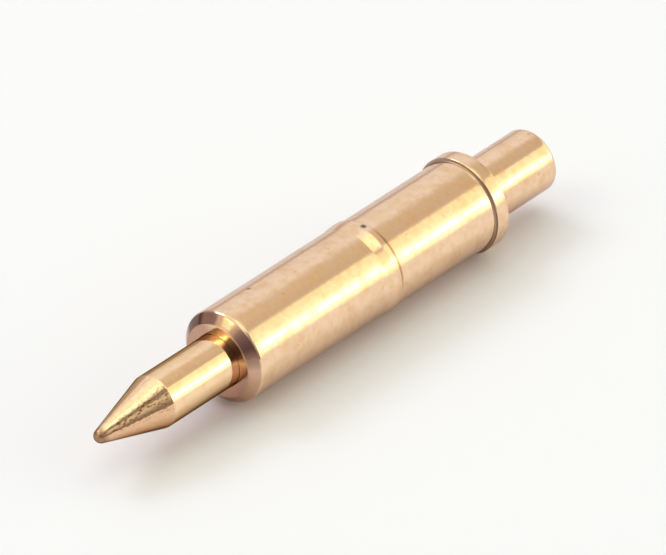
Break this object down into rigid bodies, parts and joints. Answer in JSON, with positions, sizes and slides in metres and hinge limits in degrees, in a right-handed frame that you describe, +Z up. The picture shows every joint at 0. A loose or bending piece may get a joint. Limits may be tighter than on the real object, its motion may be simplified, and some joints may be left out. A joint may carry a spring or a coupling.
{
  "type": "spring-loaded contact pin",
  "caption": "Gold-plated spring contact pin: cone-tipped plunger sliding in a turned barrel with a retaining barb, a thin flange and a round solder tail.",
  "frame": {"origin": "on the pin's axis, in the plane of the flange face that stops against the housing", "axes": "-X along the pin's axis towards the tip, +X towards the solder tail, +Z up with the pin lying level"},
  "size_m": [0.0173, 0.0028, 0.0028],
  "materials": {
    "barrel_gold": "gold-plated turned brass, glossy, faintly stained and speckled",
    "plunger_gold": "gold-plated turned brass, polished, with fine turning marks on the cone",
    "spring_wire": "drawn spring wire with ground ends"
  },
  "bodies": {
    "barrel": {"barrel": "barrel_gold", "spring": "spring_wire"},
    "plunger": {"plunger": "plunger_gold"}
  },
  "joints": [
    {"name": "plunger_slide", "type": "slide", "parent": "barrel", "child": "plunger", "axis": [1, 0, 0], "range_m": [0, 0.002], "stiffness_N_per_m": 430, "deforming": ["spring"]}
  ]
}
